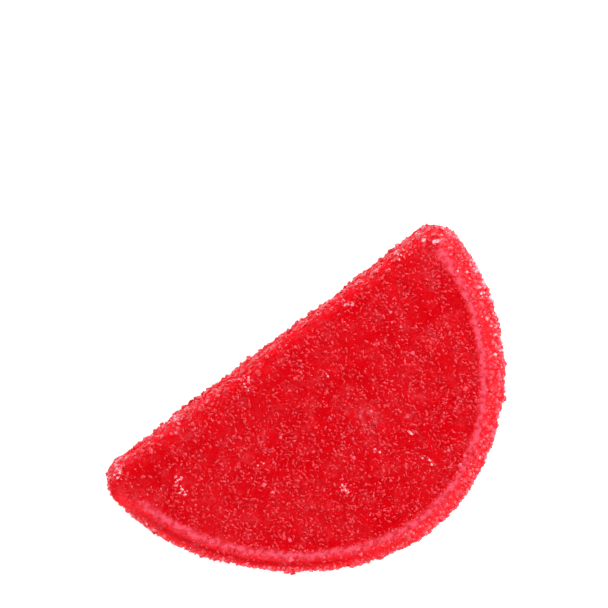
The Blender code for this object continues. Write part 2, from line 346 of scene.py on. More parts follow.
def sugar_bloom_and_sheen(nodes, links):
    """Share of fine sugar and painted sheen on the skin: its own attribute and loose clouds, both in
    fine grains.
    """
    clouds = object_noise(nodes, links, scale=620.0, detail=3.0)
    cloudy = remapped(nodes, links, clouds.outputs["Fac"],
                      low=0.45, high=0.75, at_low=0.0, at_high=0.6)
    grains = object_noise(nodes, links, scale=2600.0, detail=2.0)
    grainy = remapped(nodes, links, grains.outputs["Fac"],
                      low=0.38, high=0.66, at_low=0.10, at_high=1.0)
    spread = combined(nodes, links, "ADD", attribute(nodes, "bloom_and_sheen"), cloudy)
    return combined(nodes, links, "MULTIPLY", spread, grainy)


def syrup_relief(nodes, links, shader, settings):
    """Fine bumps of half-dissolved sugar, drawn out along the heading of the long grains."""
    place = nodes.new("ShaderNodeTexCoord")
    turned = nodes.new("ShaderNodeMapping")
    turned.inputs["Rotation"].default_value = (0.0, 0.0, -settings.relief_way)
    turned.inputs["Scale"].default_value = (0.5, 1.0, 1.0)
    bumps = nodes.new("ShaderNodeTexNoise")
    bumps.inputs["Scale"].default_value = 1.0 / settings.relief_size
    bumps.inputs["Detail"].default_value = 2.0
    bumps.inputs["Roughness"].default_value = 0.6
    bump = nodes.new("ShaderNodeBump")
    bump.inputs["Strength"].default_value = 1.0
    bump.inputs["Distance"].default_value = settings.relief_height
    links.new(place.outputs["Object"], turned.inputs["Vector"])
    links.new(turned.outputs["Vector"], bumps.inputs["Vector"])
    links.new(bumps.outputs["Fac"], bump.inputs["Height"])
    links.new(bump.outputs["Normal"], shader.inputs["Normal"])


def jelly_material(name, settings, band_settings, translucency, light_depth):
    """Translucent red jelly, denser in patches, brighter in the rind as painted glow, with painted
    shade in the groove, painted sheen with the fine sugar, and paler towards the band.
    """
    material, nodes, links, shader = new_material(name)
    patches = object_noise(nodes, links, scale=260.0, detail=3.0)
    ramp = nodes.new("ShaderNodeValToRGB")
    ramp.color_ramp.elements[0].position = 0.35
    ramp.color_ramp.elements[0].color = settings.deep_colour
    ramp.color_ramp.elements[1].position = 0.65
    ramp.color_ramp.elements[1].color = settings.colour
    links.new(patches.outputs["Fac"], ramp.inputs["Fac"])
    # Painted glow: the rind's brighter red stands in for light shining through its thin outer edge.
    colour = mixed(nodes, links, attribute(nodes, "beyond_band"), ramp.outputs["Color"],
                   settings.rind_colour)
    # Painted shade: the groove beside the band gets a darker red where it lies in shade.
    colour = mixed(nodes, links, attribute(nodes, "groove_shade"), colour, settings.groove_shade_colour)
    # Pale fine sugar, with painted sheen of the skin in it.
    colour = mixed(nodes, links, sugar_bloom_and_sheen(nodes, links), colour, settings.bloom_and_sheen_colour)
    colour = band_blend(nodes, links, colour, band_settings)
    links.new(colour, shader.inputs["Base Color"])
    syrup_relief(nodes, links, shader, settings)
    shader.inputs["Subsurface Weight"].default_value = translucency
    shader.inputs["Subsurface Radius"].default_value = (1.0, 0.10, 0.10)
    shader.inputs["Subsurface Scale"].default_value = light_depth
    shader.inputs["Roughness"].default_value = 0.30
    shader.inputs["IOR"].default_value = 1.36
    shader.inputs["Specular IOR Level"].default_value = 0.0
    return material


def sugar_material(name, dark, light, paling):
    """Glossy sugar grains, paling from a dark to a light colour between two values of a noise."""
    material, nodes, links, shader = new_material(name)
    grain = object_noise(nodes, links, scale=2600.0, detail=1.0)
    ramp = nodes.new("ShaderNodeValToRGB")
    ramp.color_ramp.elements[0].position = paling[0]
    ramp.color_ramp.elements[0].color = dark
    ramp.color_ramp.elements[1].position = paling[1]
    ramp.color_ramp.elements[1].color = light
    links.new(grain.outputs["Fac"], ramp.inputs["Fac"])
    links.new(ramp.outputs["Color"], shader.inputs["Base Color"])
    shader.inputs["Specular Tint"].default_value = (1.0, 0.80, 0.95, 1.0)
    shader.inputs["Roughness"].default_value = 0.14
    shader.inputs["IOR"].default_value = 1.54
    return material


# ---- the jelly and the band ----

# Places in plan are given as x and y from the middle of the straight side.

# The right tip, where the band fans out: its place, its radius, and how much wider the pink gets.
TIP_X, TIP_Y = 0.0200, -0.0020
TIP_RADIUS = 0.0026
TIP_WIDENING = 0.0002

# The bubble under the upper skin, and the ring of fine sugar on it.
BUBBLE_X, BUBBLE_Y = 0.0036, -0.0117
BUBBLE_RADIUS = 0.00092
BUBBLE_HEIGHT = 0.00012
RING_RADIUS = BUBBLE_RADIUS * 0.9
RING_HALF_WIDTH = BUBBLE_RADIUS * 0.8

# The groove beside the band: the x where it begins and ends, the lengths over which it comes and
# goes, the trace of it that is left beyond, and the distance from the band and the half width of
# its form and of its painted shade, a darker red where the groove lies in shade.
GROOVE_BEGIN, GROOVE_COMING = -0.0212, 0.0014
GROOVE_END, GROOVE_GOING = 0.0015, 0.011
GROOVE_TRACE = 0.05
GROOVE_FORM = (0.00065, 0.00065)
GROOVE_SHADE = (0.00050, 0.00054)

# How far below the top the upper face begins to take the groove and the bubble, and over what.
UPPER_DEPTH, UPPER_FADE = 0.0016, 0.0008

# The filling of the slot that the band has in the jelly: its spare width, and how deep it ends.
PLUG_SPARE = 0.00058
PLUG_DEPTH = 0.00050

# How pale fine sugar makes the skin along the straight side, at the ring, the left end and the tip,
# with painted sheen added along the straight side and at the tip.
# Along the straight side it fades from a distance inside on, over a depth. At the left end it
# comes from an x on, over a length.
STRAIGHT_BLOOM_AND_SHEEN, RING_BLOOM, LEFT_BLOOM, TIP_BLOOM_AND_SHEEN = 0.30, 0.95, 0.30, 0.58
STRAIGHT_INSIDE, STRAIGHT_DEPTH = 0.0002, 0.0018
LEFT_BEGIN, LEFT_LENGTH = -0.0180, 0.0025


class Band:
    """The pale band's side walls, to measure how far a point is from them in plan."""

    # The farthest that is measured, the length before it over which the rind's share fades out,
    # and how sharply that share rises round the band's ends.
    REACH = 0.0025
    FADE = 0.0006
    STEEPNESS = 1.6

    def __init__(self):
        guide = merged_copy("pith", "band_guide")
        self.middle_height = (CAD_BOX[0].z + CAD_BOX[1].z) / 2
        self.tree = BVHTree.FromPolygons(
            [vertex.co for vertex in guide.data.vertices],
            [face.vertices for face in guide.data.polygons])
        bpy.data.objects.remove(guide, do_unlink=True)

    def distances(self, places):
        """Signed distance of each place from the band's side, and its share of rind beyond it."""
        apart = np.full(len(places), self.REACH)
        beyond = np.zeros(len(places))
        for number, (x, y, _) in enumerate(places):
            spot = Vector((x, y, self.middle_height))
            near, normal, _, distance = self.tree.find_nearest(spot, self.REACH)
            if near is None:
                continue
            way = spot - near
            if way.dot(normal) < 0:
                apart[number] = -distance
                continue
            apart[number] = distance
            outward = way.normalized().dot(Vector((near.x, near.y - CAD_BOX[1].y, 0)).normalized())
            fade = (self.REACH - distance) / self.FADE
            beyond[number] = min(1.0, max(0.0, self.STEEPNESS * outward), fade)
        return apart, beyond


def hump(value, centre, half_width):
    """1 at the centre, falling smoothly to 0 at the half width on both sides."""
    share = np.clip(1 - np.abs(value - centre) / half_width, 0, 1)
    return share * share * (3 - 2 * share)


def band_plug(spare, top):
    """The pale band's solid widened by a spare and cut off at a height, to fill the jelly's slot."""
    plug = merged_copy("pith", "band_plug")
    widen(plug, spare)
    places = vertex_places(plug)
    places[:, 2] = np.clip(places[:, 2], spare, top)
    move_vertices(plug, places)
    return plug


def groove_share(x):
    """How deep the groove is, and how dark its painted shade, along the slice: full to the left, all
    but gone to the right.
    """
    coming = np.clip((x - GROOVE_BEGIN) / GROOVE_COMING, 0, 1)
    return coming * np.clip((GROOVE_END - x) / GROOVE_GOING, GROOVE_TRACE, 1)


def tip_share(places):
    """1 in the middle of the right tip, where the band fans out, falling to 0 round it."""
    away = np.hypot((places[:, 0] - TIP_X) / TIP_RADIUS,
                    (places[:, 1] - CAD_BOX[1].y - TIP_Y) / TIP_RADIUS)
    return np.exp(-away * away)


def bubble_distance(places):
    """Distance in plan from the middle of the bubble under the upper skin."""
    return np.hypot(places[:, 0] - BUBBLE_X, places[:, 1] - CAD_BOX[1].y - BUBBLE_Y)


def bloom_and_sheen_share(places):
    """How pale fine sugar and painted sheen make the skin at each place."""
    from_straight = CAD_BOX[1].y - places[:, 1]
    faded = np.clip((from_straight - STRAIGHT_INSIDE) / STRAIGHT_DEPTH, 0, 1)
    along = STRAIGHT_BLOOM_AND_SHEEN * (1 - faded) ** 1.5
    ring = RING_BLOOM * hump(bubble_distance(places), RING_RADIUS, RING_HALF_WIDTH)
    left_end = LEFT_BLOOM * np.clip((LEFT_BEGIN - places[:, 0]) / LEFT_LENGTH, 0, 1)
    tip = TIP_BLOOM_AND_SHEEN * tip_share(places)
    return np.maximum(np.maximum(along, ring), np.maximum(left_end, tip))


def mark_zones(piece, apart, beyond):
    """Store on each vertex the distance from the band's pink, the rind with its painted glow, the
    groove's painted shade, and the fine sugar with painted sheen.
    """
    places = vertex_places(piece)
    # Painted shade: the groove's darker share beside the band, strongest to the left.
    groove_shade = beyond * hump(apart, *GROOVE_SHADE) * groove_share(places[:, 0])
    painted = apart - TIP_WIDENING * tip_share(places)
    for name, values in (("band_distance", painted), ("beyond_band", beyond), ("groove_shade", groove_shade),
                         ("bloom_and_sheen", bloom_and_sheen_share(places))):
        layer = piece.data.attributes.new(name, "FLOAT", "POINT")
        layer.data.foreach_set("value", values)


def build_jelly(settings, band_settings):
    """The red jelly: the CAD form melted, with hollows, the groove and the bubble."""
    band = Band()
    plug = band_plug(PLUG_SPARE, CAD_BOX[1].z - PLUG_DEPTH)
    skin = merged_copy("jelly", "jelly_skin")
    plug.select_set(True)
    bpy.ops.object.join()
    apply_modifier(skin, "REMESH", mode="VOXEL", voxel_size=settings.voxel)
    apply_modifier(skin, "SMOOTH", factor=0.5, iterations=settings.melt_rounds)
    dimples = noise_texture("dimples", "CLOUDS", settings.dimple_size, noise_depth=1)
    apply_modifier(skin, "DISPLACE", texture=dimples, texture_coords="LOCAL",
                   strength=settings.dimple_depth, mid_level=0.5)
    places = vertex_places(skin)
    apart, beyond = band.distances(places)
    on_top = np.clip((places[:, 2] - CAD_BOX[1].z + UPPER_DEPTH) / UPPER_FADE, 0, 1)
    places[:, 2] -= (on_top * beyond * groove_share(places[:, 0]) * settings.groove_depth
                     * hump(apart, *GROOVE_FORM))
    dome = np.clip(1 - (bubble_distance(places) / BUBBLE_RADIUS) ** 2, 0, 1)
    places[:, 2] += on_top * BUBBLE_HEIGHT * np.sqrt(dome)
    places[:, 2] = np.maximum(places[:, 2], settings.rest_height)
    move_vertices(skin, places)
    mark_zones(skin, apart, beyond)
    select_only(skin)
    bpy.ops.object.shade_smooth()
    material = jelly_material("red_jelly", settings, band_settings,
                              translucency=1.0, light_depth=0.0012)
    finish_piece(skin, material)
    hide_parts("jelly")


def build_pith(settings, jelly_settings):
    """The pale band, a soft ridge that runs into the jelly on both sides."""
    band = merged_copy("pith", "pith_band")
    widen(band, settings.overlap)
    apply_modifier(band, "REMESH", mode="VOXEL", voxel_size=settings.voxel)
    apply_modifier(band, "SMOOTH", factor=0.5, iterations=6)
    ripples = noise_texture("ripples", "CLOUDS", size=0.0009, noise_depth=2)
    apply_modifier(band, "DISPLACE", texture=ripples, texture_coords="LOCAL",
                   strength=0.00022, mid_level=0.5)
    places = vertex_places(band)
    places[:, 2] -= settings.sink * (places[:, 2] > CAD_BOX[1].z / 2)
    places[:, 2] = np.maximum(places[:, 2], jelly_settings.rest_height)
    move_vertices(band, places)
    mark_zones(band, *Band().distances(places))
    select_only(band)
    bpy.ops.object.shade_smooth()
    material = jelly_material("pink_pith", jelly_settings, settings,
                              translucency=0.4, light_depth=0.0002)
    finish_piece(band, material)
    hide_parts("pith")


# ---- the sugar ----

# The zones of the surface, numbered in the order in which a kind of grain gives its shares.
FLESH, BAND, RIND, STRAIGHT, UNDERSIDE, HIDDEN = range(6)


def grain_shape(kind):
    """Corners and faces of one grain of unit size, modelled and then removed."""
    bpy.ops.object.select_all(action="DESELECT")
    bpy.ops.mesh.primitive_cube_add(size=1.0)
    grain = bpy.context.object
    bpy.ops.object.mode_set(mode="EDIT")
    if kind == "block":
        bpy.ops.mesh.select_all(action="SELECT")
        bpy.ops.mesh.bevel(offset=0.12, segments=1, affect="EDGES")
    else:
        bpy.ops.mesh.select_all(action="DESELECT")
        shape = bmesh.from_edit_mesh(grain.data)
        for face in shape.faces:
            face.select_set(face.normal.z > 0.5)
        bmesh.update_edit_mesh(grain.data)
        narrowing = {"ridge": (0.70, 0.12, 1.0), "chip": (0.35, 0.35, 1.0)}[kind]
        bpy.ops.transform.resize(value=narrowing)
    bpy.ops.object.mode_set(mode="OBJECT")
    corners = vertex_places(grain)
    faces = [tuple(face.vertices) for face in grain.data.polygons]
    mesh = grain.data
    bpy.data.objects.remove(grain, do_unlink=True)
    bpy.data.meshes.remove(mesh)
    return corners, faces


class Surface:
    """The triangles of the jelly and the band in zones, from which places for grains are drawn."""

    # Clouds of more and fewer grains: their fineness, their contrast, the least and largest share.
    CLOUD_SCALE = 420.0
    CLOUD_CONTRAST = 1.25
    CLOUD_LIMITS = (0.30, 2.4)

    # Upward parts of the normal: a triangle below the first is a wall, below the second underside.
    WALL, UNDER = 0.7, -0.6

    # The upper face has fewer grains at the left end: down to a least share at an x, over a length.
    BARE_END, BARE_LENGTH, BARE_SHARE = -0.0215, 0.0045, 0.3

    # Coarse grains come in from an x on, over a length, where the groove's painted shade is faint. A
    # share of the groove stays bare where its painted shade is clear.
    COARSE_BEGIN, COARSE_COMING = -0.0200, 0.0025
    GROOVE_FAINT, GROOVE_CLEAR, GROOVE_BARE = 0.15, 0.3, 0.6

    # The straight side's zone: the most upward and the least outward part of its normals, or its
    # depth in plan, and the part of the left end that is like it.
    FACING_UP, FACING_OUT, STRAIGHT_DEPTH = 0.9, 0.40, 0.0012
    LEFT_END, LEFT_DEPTH, LEFT_SHARE = -0.0195, 0.0060, 0.75

    # The distances from the band's side below which its zone begins and the jelly is covered by it,
    # and the upward part of the normal that tells the band's crown from its walls.
    BAND_BELOW, COVERED_BELOW, CROWN = 0.00005, -0.00015, 0.5

    def __init__(self, skin, band, generator):
        parts = [self.triangles(piece) for piece in (skin, band)]
        self.corners, apart, beyond, groove_shade = (np.concatenate(values) for values in zip(*parts))
        self.centres = self.corners.mean(axis=1)
        crosses = np.cross(self.corners[:, 1] - self.corners[:, 0],
                           self.corners[:, 2] - self.corners[:, 0])
        self.areas = np.linalg.norm(crosses, axis=1)
        self.normals = crosses / self.areas[:, None]
        self.dither = generator.random(len(apart))
        clouds = np.array([noise.fractal(Vector(centre) * self.CLOUD_SCALE, 1.0, 2.0, 2)
                           for centre in self.centres])
        self.patches = np.clip(1.0 + self.CLOUD_CONTRAST * clouds, *self.CLOUD_LIMITS)
        from_end = (self.centres[:, 0] - self.BARE_END) / self.BARE_LENGTH
        bare_end = np.maximum(beyond, np.clip(from_end, self.BARE_SHARE, 1))
        self.patches *= np.where(self.normals[:, 2] > self.WALL, bare_end, 1.0)
        self.zones = self.zone_numbers(apart, beyond, groove_shade, len(parts[0][0]))

    @staticmethod
    def triangles(piece):
        """Corner places, distance from the band, share of rind and of the groove's painted shade of
        each triangle.
        """
        mesh = piece.data
        mesh.calc_loop_triangles()
        vertices = np.empty(len(mesh.loop_triangles) * 3, dtype=np.int64)
        mesh.loop_triangles.foreach_get("vertices", vertices)
        vertices = vertices.reshape(-1, 3)
        marks = []
        for name in ("band_distance", "beyond_band", "groove_shade"):
            values = np.empty(len(mesh.vertices))
            mesh.attributes[name].data.foreach_get("value", values)
            marks.append(values[vertices].mean(axis=1))
        return vertex_places(piece)[vertices], *marks

    def zone_numbers(self, apart, beyond, groove_shade, skin_count):
        """The zone of each triangle, with ragged borders and few grains in the groove."""
        upward = self.normals[:, 2]
        from_straight = CAD_BOX[1].y - self.centres[:, 1]
        zones = np.full(len(upward), FLESH)
        coming = np.clip((self.centres[:, 0] - self.COARSE_BEGIN) / self.COARSE_COMING, 0, 1)
        coarse = (beyond * coming > self.dither) & (groove_shade < self.GROOVE_FAINT)
        zones[coarse | (upward < self.WALL)] = RIND
        facing = (upward < self.FACING_UP) & (self.normals[:, 1] > self.FACING_OUT)
        zones[facing | (from_straight < self.STRAIGHT_DEPTH)] = STRAIGHT
        zones[apart < self.BAND_BELOW] = BAND
        left_end = (self.centres[:, 0] < self.LEFT_END) & (from_straight < self.LEFT_DEPTH)
        left_wall = left_end & (upward < self.WALL)
        zones[left_wall & (self.dither < self.LEFT_SHARE)] = STRAIGHT
        zones[upward < self.UNDER] = UNDERSIDE
        zones[(groove_shade > self.GROOVE_CLEAR) & (self.dither < self.GROOVE_BARE)] = HIDDEN
        on_skin = np.arange(len(zones)) < skin_count
        zones[on_skin & (apart < self.COVERED_BELOW)] = HIDDEN
        zones[~on_skin & (np.abs(upward) < self.CROWN)] = HIDDEN
        return zones

    def spots(self, count, gap, shares, generator):
        """Places and normals, no two nearer than the gap, with a share of density for each zone."""
        weights = self.areas * np.array([*shares, 0.0])[self.zones] * self.patches
        return self.draw(weights, count, gap, generator)

    def draw(self, weights, count, gap, generator):
        """Places and normals drawn from the triangles by their weights, spread apart."""
        drawn = generator.choice(len(weights), size=count * 2, p=weights / weights.sum())
        first = generator.random(count * 2)
        second = generator.random(count * 2)
        folded = first + second > 1
        first[folded], second[folded] = 1 - first[folded], 1 - second[folded]
        chosen = self.corners[drawn]
        places = (chosen[:, 0] + (chosen[:, 1] - chosen[:, 0]) * first[:, None]
                  + (chosen[:, 2] - chosen[:, 0]) * second[:, None])
        kept = spread_out(places, count, gap)
        return places[kept], self.normals[drawn][kept]

    def near_clusters(self, clusters):
        """Weights of the upper triangles near the clusters, given as x, y, radius and share."""
        weights = np.zeros(len(self.centres))
        for x, y, radius, share in clusters:
            away = self.distance_in_plan(x, y) / radius
            weights += share * np.exp(-away * away) / radius ** 2
        return weights * self.areas * (self.normals[:, 2] > 0.1) * (self.zones != HIDDEN)

    def upper_spot(self, x, y):
        """Place and normal of the upward triangle nearest to a point in plan."""
        away = self.distance_in_plan(x, y)
        away[(self.normals[:, 2] < 0.5) | (self.zones == HIDDEN)] = np.inf
        nearest = np.argmin(away)
        return self.centres[nearest], self.normals[nearest]

    def distance_in_plan(self, x, y):
        """How far each triangle is in plan from a point given from the straight side's middle."""
        return np.hypot(self.centres[:, 0] - x, self.centres[:, 1] - CAD_BOX[1].y - y)


def spread_out(places, count, gap):
    """Numbers of the places to keep so that no two are nearer than the gap."""
    tree = KDTree(len(places))
    for number, place in enumerate(places):
        tree.insert(place, number)
    tree.balance()
    kept = []
    dropped = set()
    for number, place in enumerate(places):
        if number in dropped:
            continue
        kept.append(number)
        if len(kept) == count:
            break
        for _, other, _ in tree.find_range(place, gap):
            dropped.add(other)
    return kept


# How far a grain's length rises or falls along its heading, how far its corners are off their
# regular places, as a share of its size, and the lowest height that it may reach above the table.
RISE = 0.3
CORNER_WOBBLE = 0.07
LOWEST = 0.00002


def turned_axes(normals, lean, heading, spread, generator):
    """A rotation matrix for each grain: leaning off its normal, its length near its heading."""
    count = len(normals)
    tilted = normals + generator.normal(0.0, lean, (count, 3))
    up = tilted / np.linalg.norm(tilted, axis=1)[:, None]
    turn = heading + generator.normal(0.0, spread, count)
    way = np.stack([np.cos(turn), np.sin(turn), generator.normal(0.0, RISE, count)], axis=1)
    side = way - up * np.einsum("ni,ni->n", way, up)[:, None]
    side /= np.linalg.norm(side, axis=1)[:, None]
    return np.stack([side, np.cross(up, side), up], axis=2)


def join_grains(name, shape, places, axes, sizes, sink, generator):
    """One mesh of many grains, each turned, scaled and sunk, with its corners a little off."""
    corners, faces = shape
    count = len(places)
    wobble = generator.normal(0.0, CORNER_WOBBLE, (count, len(corners), 3))
    local = (corners[None] + wobble) * sizes[:, None, :]
    lifted = places + axes[:, :, 2] * (sizes[:, 2] * (0.5 - sink))[:, None]
    world = np.einsum("nij,nkj->nki", axes, local) + lifted[:, None, :]
    world[:, :, 2] = np.maximum(world[:, :, 2], LOWEST)
    mesh = bpy.data.meshes.new(name)
    sides = np.array([len(face) for face in faces])
    flat = np.concatenate([np.array(face) for face in faces])
    loops = (flat[None] + (np.arange(count) * len(corners))[:, None]).ravel()
    starts = np.concatenate([[0], np.cumsum(np.tile(sides, count))[:-1]])
    mesh.vertices.add(count * len(corners))
    mesh.vertices.foreach_set("co", world.ravel())
    mesh.loops.add(len(loops))
    mesh.loops.foreach_set("vertex_index", loops)
    mesh.polygons.add(count * len(faces))
    mesh.polygons.foreach_set("loop_start", starts)
    mesh.update(calc_edges=True)
    mesh.validate()
    piece = bpy.data.objects.new(name, mesh)
    bpy.context.scene.collection.objects.link(piece)
    return piece


class GrainKind(NamedTuple):
    """One kind of scattered grain; widths and heights are shares of its length."""

    name: str
    shape: str
    count: int
    finish: str
    gap: float
    lengths: tuple
    widths: tuple
    heights: tuple
    lean: float
    spread: float
    sink: float
    shares: tuple


# The gap is the least distance between two grains of a kind. The lean is off the surface's normal
# and the spread is round the common heading, both in radians. The sink is the share of a grain's
# height below the surface. The shares are its density in each zone but the hidden one.
GRAINS = (
    GrainKind("sugar_blocks", "block", 4000, "pink", gap=0.00030, lengths=(0.00018, 0.00056),
              widths=(0.65, 0.95), heights=(0.50, 0.80), lean=0.40, spread=3.0, sink=0.42,
              shares=(0.0, 0.0, 1.0, 0.0, 0.25)),
    GrainKind("sugar_lumps", "block", 1100, "wet", gap=0.00045, lengths=(0.00030, 0.00066),
              widths=(0.65, 0.95), heights=(0.50, 0.80), lean=0.40, spread=3.0, sink=0.42,
              shares=(0.0, 0.0, 0.3, 0.4, 0.25)),
    GrainKind("sugar_crystals", "chip", 3600, "clear", gap=0.00028, lengths=(0.00014, 0.00052),
              widths=(0.60, 0.95), heights=(0.40, 0.75), lean=0.55, spread=3.0, sink=0.20,
              shares=(0.010, 0.16, 1.0, 0.03, 0.25)),
    GrainKind("sugar_needles", "ridge", 5400, "wet", gap=0.00028, lengths=(0.00018, 0.00060),
              widths=(0.35, 0.60), heights=(0.06, 0.17), lean=0.14, spread=0.60, sink=0.10,
              shares=(1.0, 0.25, 0.35, 0.12, 0.30)),
    GrainKind("sugar_chips", "chip", 5000, "wet", gap=0.00024, lengths=(0.00012, 0.00042),
              widths=(0.60, 0.95), heights=(0.12, 0.30), lean=0.25, spread=3.0, sink=0.12,
              shares=(1.0, 0.4, 0.25, 0.35, 0.30)),
    GrainKind("sugar_dust", "chip", 12000, "pink", gap=0.00016, lengths=(0.00008, 0.00020),
              widths=(0.65, 0.95), heights=(0.40, 0.65), lean=0.35, spread=3.0, sink=0.20,
              shares=(0.06, 0.9, 1.0, 0.15, 0.30)),
)

# Whitish clusters on the upper side: x, y, radius and share.
FROST_CLUSTERS = (
    (0.0198, -0.0016, 0.00034, 1.5),
    (0.0163, -0.0006, 0.00048, 3.0),
    (0.0089, -0.0014, 0.00040, 2.0),
    (0.0032, -0.0055, 0.00034, 3.0),
    (0.0041, -0.0108, 0.00024, 0.6),
    (-0.0076, -0.0090, 0.00040, 2.5),
    (-0.0156, -0.0050, 0.00034, 3.0),
    (-0.0158, -0.0062, 0.00034, 2.0),
    (-0.0026, -0.0159, 0.00034, 4.0),
    (0.0021, -0.0149, 0.00030, 1.5),
    (0.0060, -0.0193, 0.00040, 1.5),
    (-0.0041, -0.0014, 0.00040, 3.0),
    (-0.0198, -0.0008, 0.00040, 3.0),
    (-0.0119, -0.0004, 0.00036, 2.0),
)

# Whitish patches at the rind's outer edge, most of them to the right, given in the same way.
FROST_PATCHES = (
    (0.0219, -0.0016, 0.0007, 1.0),
    (0.0217, -0.0056, 0.0009, 1.6),
    (0.0210, -0.0087, 0.0008, 1.0),
    (0.0202, -0.0112, 0.0009, 1.3),
    (0.0195, -0.0133, 0.0008, 1.0),
    (0.0183, -0.0154, 0.0008, 0.8),
    (-0.0209, -0.0077, 0.0005, 0.25),
    (-0.0191, -0.0118, 0.0005, 0.6),
    (-0.0130, -0.0195, 0.0005, 0.6),
)

# Of the frost crystals in the clusters and in the patches: how many are drawn, and the gap between
# them. Then their shortest length, their longest in clusters and in patches, and the least and
# largest shares of it that they are long, wide and high.
CLUSTER_DRAW = (130, 0.00015)
PATCH_DRAW = (220, 0.00018)
FROST_SHORTEST = 0.00010
FROST_LONGEST = (0.00042, 0.00046)
FROST_SHARES = ((0.9, 0.6, 0.5), (1.0, 0.9, 0.8))

# Large flat crystals of one thickness: x, y, length, width, and heading in degrees.
SLAB_THICKNESS = 0.00026
SLABS = (
    (0.0198, -0.0016, 0.00088, 0.00038, -18.0),
    (0.0188, -0.0008, 0.00044, 0.00034, -60.0),
    (0.0060, -0.0155, 0.00066, 0.00020, -80.0),
    (0.0217, -0.0064, 0.00105, 0.00034, -102.0),
    (0.0214, -0.0080, 0.00060, 0.00040, -70.0),
    (0.0209, -0.0096, 0.00070, 0.00050, -105.0),
)


def build_sugar(settings, skin, band):
    """All the sugar, one piece for each kind of grain."""
    generator = np.random.default_rng(settings.seed)
    finishes = {
        "wet": sugar_material("wet_sugar", settings.wet_colour, settings.glint_colour,
                              paling=(0.5, 0.8)),
        "pink": sugar_material("pink_sugar", settings.rind_colour, settings.pink_colour,
                               paling=(0.4, 0.7)),
        "clear": sugar_material("clear_sugar", settings.pink_colour, settings.clear_colour,
                                paling=(0.35, 0.70)),
        "frost": sugar_material("frost_sugar", settings.clear_colour, settings.frost_colour,
                                paling=(0.40, 0.65)),
    }
    surface = Surface(skin, band, generator)
    for kind in GRAINS:
        scatter(kind, settings, surface, finishes[kind.finish], generator)
    build_frost(settings, surface, finishes["frost"], generator)
    build_slabs(surface, finishes["frost"], generator)


def finish_sugar(piece, material):
    """Give a sugar piece its material, without a shadow, because clear grains cast hardly any."""
    finish_piece(piece, material)
    piece.visible_shadow = False


def graded_lengths(shortest, longest, generator, number, power):
    """Random lengths of which most are short, the more so the higher the power is."""
    return shortest + (longest - shortest) * generator.random(number) ** power


def scatter(kind, settings, surface, material, generator):
    """One kind of grain scattered over its zones."""
    count = int(kind.count * settings.density)
    places, normals = surface.spots(count, kind.gap, kind.shares, generator)
    number = len(places)
    lengths = graded_lengths(*kind.lengths, generator, number, power=1.7)
    sizes = np.stack([lengths,
                      lengths * generator.uniform(*kind.widths, number),
                      lengths * generator.uniform(*kind.heights, number)], axis=1)
    axes = turned_axes(normals, kind.lean, settings.stroke_way, kind.spread, generator)
    shape = grain_shape(kind.shape)
    piece = join_grains(kind.name, shape, places, axes, sizes, kind.sink, generator)
    finish_sugar(piece, material)


def build_frost(settings, surface, material, generator):
    """Dry whitish crystals: small clusters on the flesh and patches at the rind's edge."""
    in_clusters = surface.draw(surface.near_clusters(FROST_CLUSTERS), *CLUSTER_DRAW, generator)
    on_rim = surface.draw(surface.near_clusters(FROST_PATCHES), *PATCH_DRAW, generator)
    places = np.concatenate([in_clusters[0], on_rim[0]])
    normals = np.concatenate([in_clusters[1], on_rim[1]])
    number = len(places)
    longest = np.repeat(FROST_LONGEST, (len(in_clusters[0]), len(on_rim[0])))
    lengths = graded_lengths(FROST_SHORTEST, longest, generator, number, power=1.5)
    sizes = lengths[:, None] * generator.uniform(*FROST_SHARES, (number, 3))
    axes = turned_axes(normals, lean=0.4, heading=settings.stroke_way, spread=3.0,
                       generator=generator)
    piece = join_grains("sugar_frost", grain_shape("chip"), places, axes, sizes, sink=0.1,
                        generator=generator)
    finish_sugar(piece, material)


def build_slabs(surface, material, generator):
    """A few large flat crystals that lie on the upper side, each at its own place."""
    across, along, lengths, widths, headings = np.array(SLABS).T
    spots = [surface.upper_spot(x, y) for x, y in zip(across, along)]
    places, normals = (np.array(values) for values in zip(*spots))
    sizes = np.stack([lengths, widths, np.full(len(lengths), SLAB_THICKNESS)], axis=1)
    axes = turned_axes(normals, lean=0.08, heading=np.radians(headings), spread=0.05,
                       generator=generator)
    piece = join_grains("sugar_slabs", grain_shape("block"), places, axes, sizes, sink=0.2,
                        generator=generator)
    finish_sugar(piece, material)


# ---- the stage ----

# How far the softboxes stand from the slice, and how high above the floor's level they are seen.
SOFTBOX_DISTANCE = 0.42
SOFTBOX_ELEVATION = math.radians(36.0)

# The elevations between which the tent darkens towards its top.
TENT_BRIGHT_BELOW = math.radians(52.0)
TENT_DARK_ABOVE = math.radians(72.0)

# The point of the slice's upper face in the middle of the picture, in plan.
PICTURE_MIDDLE = (0.0054, 0.0141)


def softbox(name, way, size, brightness):
    """A rectangular area light that faces the slice from this way."""
    light = bpy.data.lights.new(name, "AREA")
    light.shape = "RECTANGLE"
    light.size, light.size_y = size
    light.energy = brightness * math.pi * size[0] * size[1]
    lamp = bpy.data.objects.new(name, light)
    bpy.context.scene.collection.objects.link(lamp)
    up = Vector((0.0, 0.0, 1.0))
    toward = way * math.cos(SOFTBOX_ELEVATION) + up * math.sin(SOFTBOX_ELEVATION)
    lamp.location = toward * SOFTBOX_DISTANCE
    lamp.rotation_euler = toward.to_track_quat("Z", "Y").to_euler()


